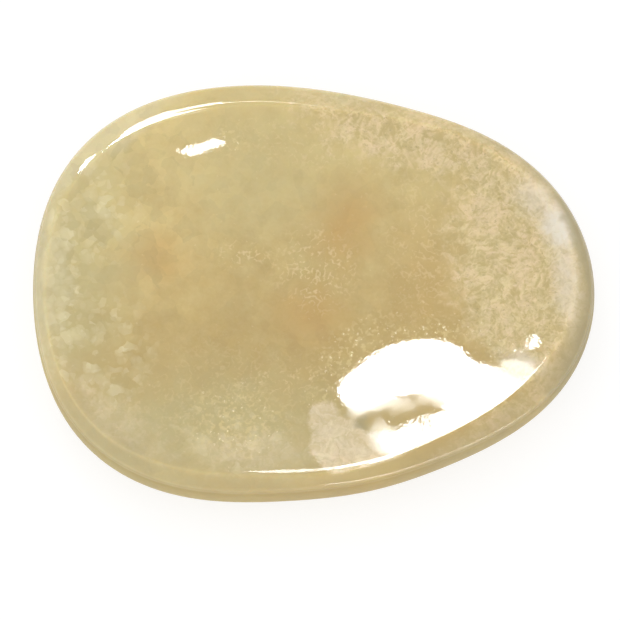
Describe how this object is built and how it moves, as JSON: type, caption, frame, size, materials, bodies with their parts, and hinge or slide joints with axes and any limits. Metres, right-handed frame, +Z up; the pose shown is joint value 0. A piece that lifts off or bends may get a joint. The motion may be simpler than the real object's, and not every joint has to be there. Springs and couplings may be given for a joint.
{
  "type": "calcite worry stone",
  "caption": "Flat oval pebble of polished honey calcite with a shallow thumb dish ground into its top and a small flat spot to rest on.",
  "frame": {"origin": "under the middle of the footprint, on the surface that the stone rests on", "axes": "+X along the stone's length to its narrower end, +Y across its width, +Z up out of the thumb dish"},
  "size_m": [0.04, 0.03, 0.007],
  "materials": {
    "honey_calcite": "polished, milky translucent"
  },
  "bodies": {
    "root": {"worry_stone": "honey_calcite"}
  },
  "joints": []
}
